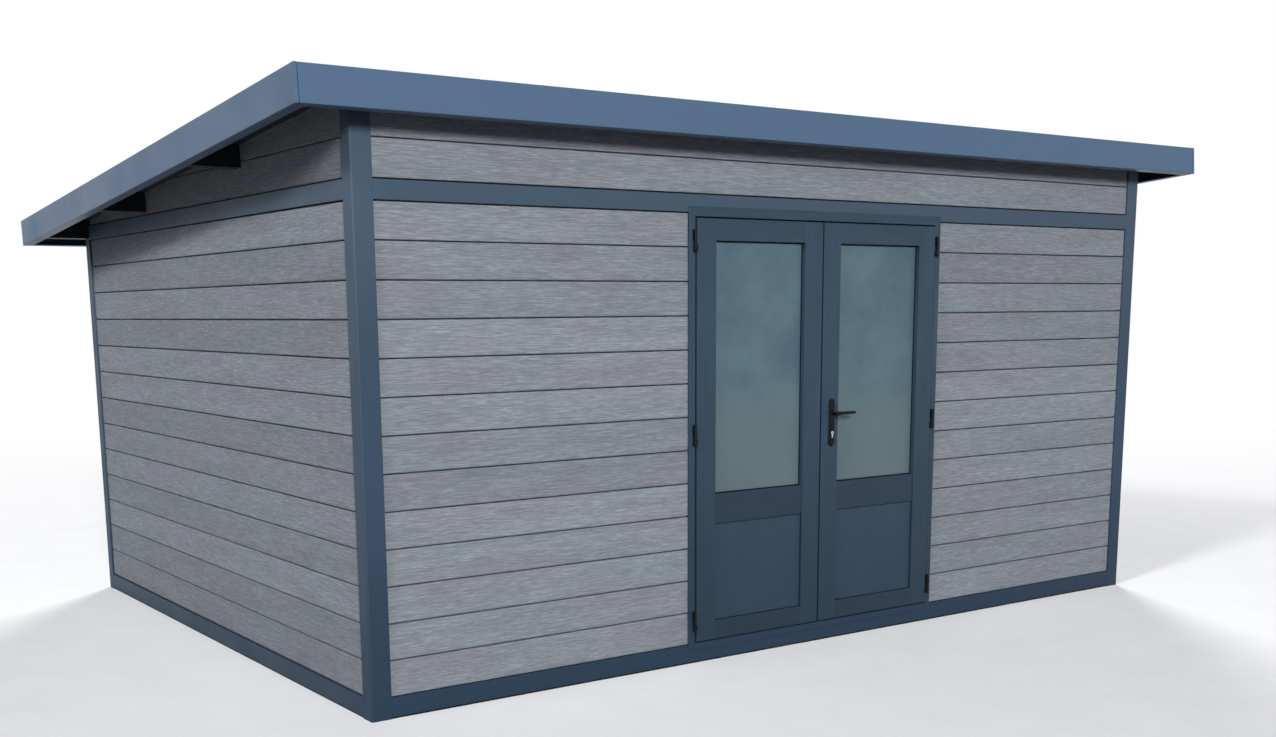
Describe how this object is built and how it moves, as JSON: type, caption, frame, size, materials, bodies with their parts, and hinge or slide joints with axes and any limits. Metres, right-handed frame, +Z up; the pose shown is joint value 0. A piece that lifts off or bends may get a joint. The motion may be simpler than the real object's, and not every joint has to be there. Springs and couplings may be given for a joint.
{
  "type": "garden shed",
  "caption": "Garden shed with composite board walls, a metal corner frame, a single-slope roof with deep boxed eaves and a glazed double door that opens outward.",
  "frame": {"origin": "on the ground, under the middle of the roof", "axes": "+X to the right along the front, +Y from the front to the back, +Z up; the doors face -Y"},
  "size_m": [5.35, 4.0734, 2.4845],
  "materials": {
    "frame": "blue-grey satin powder coat",
    "boards": "light grey wood-plastic composite with a brushed wood grain",
    "roof": "coated insulated panel, modelled as one solid",
    "deck": "matt grey composite deck",
    "bearers": "planed softwood",
    "door": "dark blue-grey satin powder coat",
    "glass": "frosted",
    "hardware": "black satin coat",
    "lock": "nickel-plated"
  },
  "bodies": {
    "shed": {"base_rail_front": "frame", "base_rail_back": "frame", "base_rail_left": "frame", "base_rail_right": "frame", "post_front_left": "frame", "post_front_right": "frame", "post_back_left": "frame", "post_back_right": "frame", "mid_rail_front": "frame", "mid_rail_left": "frame", "mid_rail_right": "frame", "eaves_beam": "frame", "purlins": "frame", "fascia_front": "frame", "fascia_back": "frame", "fascia_left": "frame", "fascia_right": "frame", "wall_front_left": "boards", "wall_front_right": "boards", "wall_back": "boards", "wall_left": "boards", "wall_right": "boards", "wall_over_door": "boards", "gable_left": "boards", "gable_right": "boards", "roof_panel": "roof", "floor_deck": "deck", "floor_bearers": "bearers", "door_jamb_left": "door", "door_jamb_right": "door", "door_head": "door", "door_threshold": "door", "hinge_frame_left": "hardware", "hinge_frame_right": "hardware"},
    "door_left": {"leaf_left": "door", "glass_left": "glass", "panel_left": "door", "hinge_leaf_left": "hardware"},
    "door_right": {"leaf_right": "door", "glass_right": "glass", "panel_right": "door", "hinge_leaf_right": "hardware", "handle_plates": "hardware", "lock_cylinder": "lock"},
    "lever_handle": {"lever": "hardware"}
  },
  "joints": [
    {"name": "left_door_hinge", "type": "hinge", "parent": "shed", "child": "door_left", "pos_m": [-0.771, -1.88473, 1.057], "axis": [0, 0, -1], "range_deg": [0, 100]},
    {"name": "right_door_hinge", "type": "hinge", "parent": "shed", "child": "door_right", "pos_m": [0.771, -1.88473, 1.057], "axis": [0, 0, 1], "range_deg": [0, 100]},
    {"name": "lever_turn", "type": "hinge", "parent": "door_right", "child": "lever_handle", "pos_m": [0.069, -1.85973, 1.118], "axis": [0, 1, 0], "range_deg": [0, 35], "stiffness_Nm_per_rad": 1.2, "springref_deg": -57.3}
  ]
}
